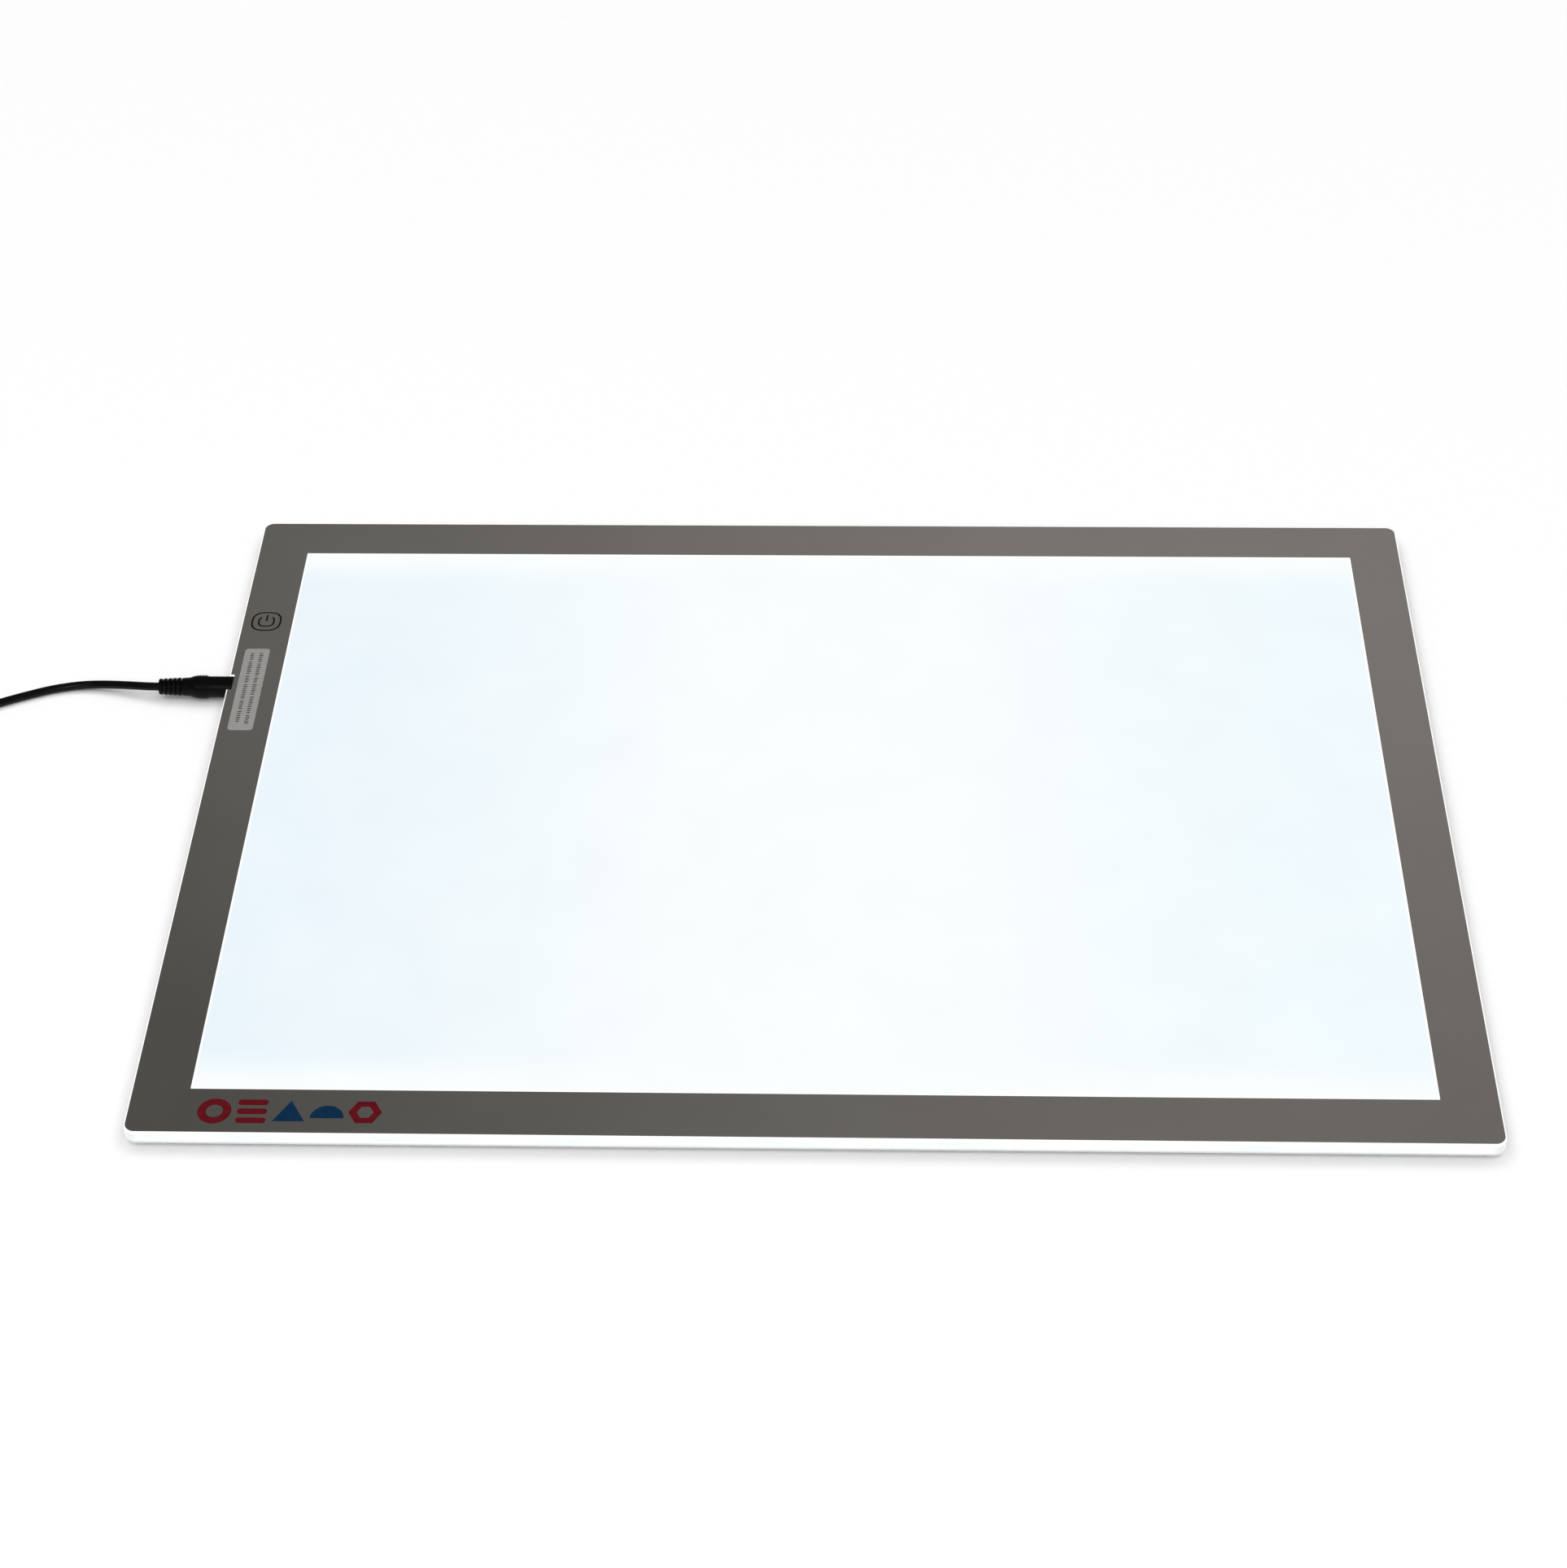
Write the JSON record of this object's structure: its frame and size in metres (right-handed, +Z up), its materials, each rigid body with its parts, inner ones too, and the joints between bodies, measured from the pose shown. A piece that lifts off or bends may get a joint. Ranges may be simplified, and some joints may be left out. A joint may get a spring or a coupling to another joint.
{
  "type": "light box",
  "caption": "Thin LED tracing light box with a lit window, grey border, touch power key and a plug-in mains adaptor on its lead.",
  "frame": {"origin": "on the table, under the centre of the panel", "axes": "+X along the panel's long side, away from the power socket; +Y to the panel's back; +Z up, out of the lit window"},
  "size_m": [0.624, 0.337, 0.0527],
  "materials": {
    "white_plastic": "satin",
    "reflector_film": "gloss",
    "light_guide_acrylic": "polished",
    "diffuser_film": "matte",
    "cover_acrylic": "fine matte, lit from behind",
    "border_print": "satin print",
    "label_paper": "matte",
    "edge_acrylic": "satin, glows white",
    "adhesive_tape": "matte",
    "lamp_strip": "satin",
    "circuit_board": "satin",
    "chip_plastic": "matte",
    "conductive_foam": "matte",
    "socket_plastic": "satin",
    "contact_metal": "bright",
    "red_wire": "gloss",
    "black_wire": "gloss",
    "foot_rubber": "matte",
    "plug_rubber": "satin",
    "cord_sheath": "gloss",
    "tie_plastic": "satin",
    "insulator_plastic": "satin",
    "adaptor_plastic": "fine texture",
    "pin_brass": "bright",
    "transformer_core": "satin",
    "capacitor_sleeve": "gloss"
  },
  "bodies": {
    "panel": {"back_plate": "white_plastic", "reflector_sheet": "reflector_film", "light_guide_plate": "light_guide_acrylic", "diffuser_sheet": "diffuser_film", "cover_sheet": "cover_acrylic", "border_film": "border_print", "notice_label": "label_paper", "edge_strip_front": "edge_acrylic", "edge_strip_right": "edge_acrylic", "edge_strip_rear": "edge_acrylic", "edge_strip_left_rear": "edge_acrylic", "edge_strip_left_front": "edge_acrylic", "lower_tape": "adhesive_tape", "upper_tape": "adhesive_tape", "lamp_strip_front": "lamp_strip", "lamp_strip_rear": "lamp_strip", "control_board": "circuit_board", "board_tape": "adhesive_tape", "touch_controller_chip": "chip_plastic", "dimmer_transistor": "chip_plastic", "voltage_regulator": "chip_plastic", "storage_inductor": "chip_plastic", "touch_electrode": "conductive_foam", "dc_socket_housing": "socket_plastic", "dc_socket_centre_pin": "contact_metal", "dc_socket_contact_leaf": "contact_metal", "front_feed_wire_red": "red_wire", "front_feed_wire_black": "black_wire", "rear_feed_wire_red": "red_wire", "rear_feed_wire_black": "black_wire", "rubber_foot_front_left": "foot_rubber", "rubber_foot_front_right": "foot_rubber", "rubber_foot_rear_left": "foot_rubber", "rubber_foot_rear_right": "foot_rubber"},
    "power_lead": {"dc_plug_body": "plug_rubber", "dc_plug_barrel": "contact_metal", "dc_plug_insulator": "insulator_plastic", "dc_plug_inner_contact": "contact_metal", "cord_to_coil": "cord_sheath", "cord_coil": "cord_sheath", "cord_tie": "tie_plastic", "cord_to_adaptor": "cord_sheath", "adaptor_strain_relief": "plug_rubber", "adaptor_case_back": "adaptor_plastic", "adaptor_case_front": "adaptor_plastic", "adaptor_pin_live": "pin_brass", "adaptor_pin_neutral": "pin_brass", "adaptor_pin_earth": "adaptor_plastic", "adaptor_board": "circuit_board", "adaptor_transformer": "transformer_core", "adaptor_capacitor": "capacitor_sleeve"}
  },
  "joints": [
    {"name": "plug_pull", "type": "slide", "parent": "panel", "child": "power_lead", "axis": [-1, 0, 0], "range_m": [0, 0.015]}
  ]
}
